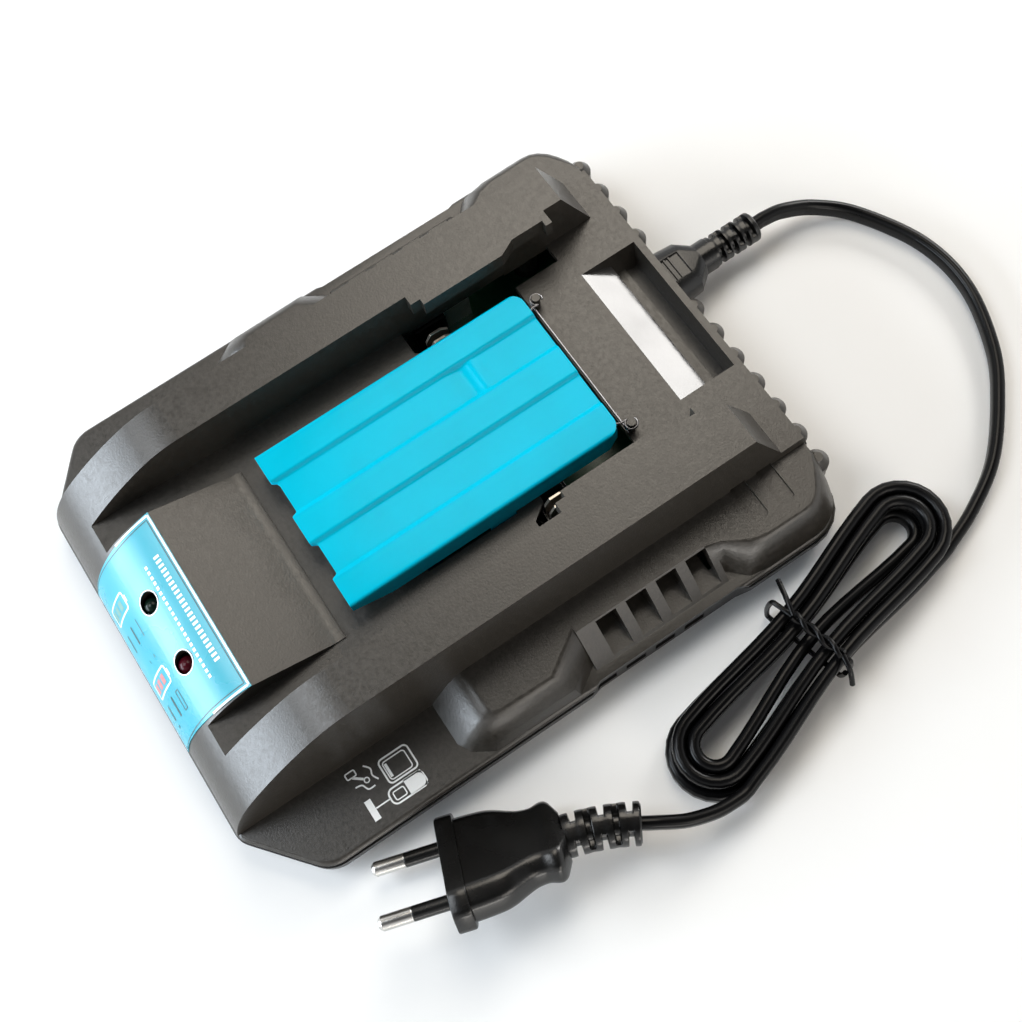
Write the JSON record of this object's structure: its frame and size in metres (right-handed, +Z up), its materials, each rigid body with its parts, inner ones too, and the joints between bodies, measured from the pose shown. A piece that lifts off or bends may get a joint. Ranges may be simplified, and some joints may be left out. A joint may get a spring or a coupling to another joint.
{
  "type": "power tool battery charger",
  "caption": "Table charger for a slide-on tool battery: two rails, a spring-loaded sliding terminal cover, two status lamps, side vents and a mains lead with a two-pin plug.",
  "frame": {"origin": "middle of the body's footprint on the table, measured without the mains lead", "axes": "+Y from the front panel with the lamps to the rear wall with the mains inlet, +X to the right seen from the front, +Z up"},
  "size_m": [0.1956, 0.2634, 0.0441],
  "materials": {
    "shell": "fine spark-eroded satin",
    "base": "satin",
    "rubber": "matte",
    "cover": "glossy",
    "label": "satin film",
    "green_lens": "clear, unlit",
    "red_lens": "clear, unlit",
    "steel": "bright",
    "contact": "tinned copper",
    "black_plastic": "satin",
    "board": "varnished",
    "ferrite": "dull",
    "winding": "taped",
    "can": "sleeved",
    "copper_wire": "enamelled",
    "aluminium": "sawn",
    "cord_rubber": "semi-gloss"
  },
  "bodies": {
    "housing": {"upper_housing": "shell", "lower_housing": "base", "rubber_feet": "rubber", "housing_screws": "steel", "board_screws": "steel", "front_label": "label", "green_led": "green_lens", "red_led": "red_lens", "cover_spring_left": "steel", "cover_spring_right": "steel", "spring_wire_rod": "steel", "terminal_block": "black_plastic", "power_terminals": "contact", "signal_terminals": "contact", "circuit_board": "board", "transformer_core": "ferrite", "transformer_winding": "winding", "mains_capacitors": "can", "output_capacitors": "can", "line_choke": "copper_wire", "fuse": "steel", "heat_sinks": "aluminium", "power_transistors": "black_plastic", "mains_inlet": "black_plastic", "inlet_pins": "steel", "cord_connector": "black_plastic", "connector_sleeve": "black_plastic", "cord_lead": "cord_rubber", "cord_hank": "cord_rubber", "cord_tail": "cord_rubber", "twist_tie": "cord_rubber", "mains_plug": "black_plastic", "plug_sleeve": "black_plastic", "plug_pins": "steel", "pin_sleeves": "black_plastic"},
    "cover": {"terminal_cover": "cover"}
  },
  "joints": [
    {"name": "cover_slide", "type": "slide", "parent": "housing", "child": "cover", "axis": [0, -1, 0], "range_m": [0, 0.02], "stiffness_N_per_m": 20, "springref_m": -0.005, "deforming": ["cover_spring_left", "cover_spring_right"]}
  ]
}
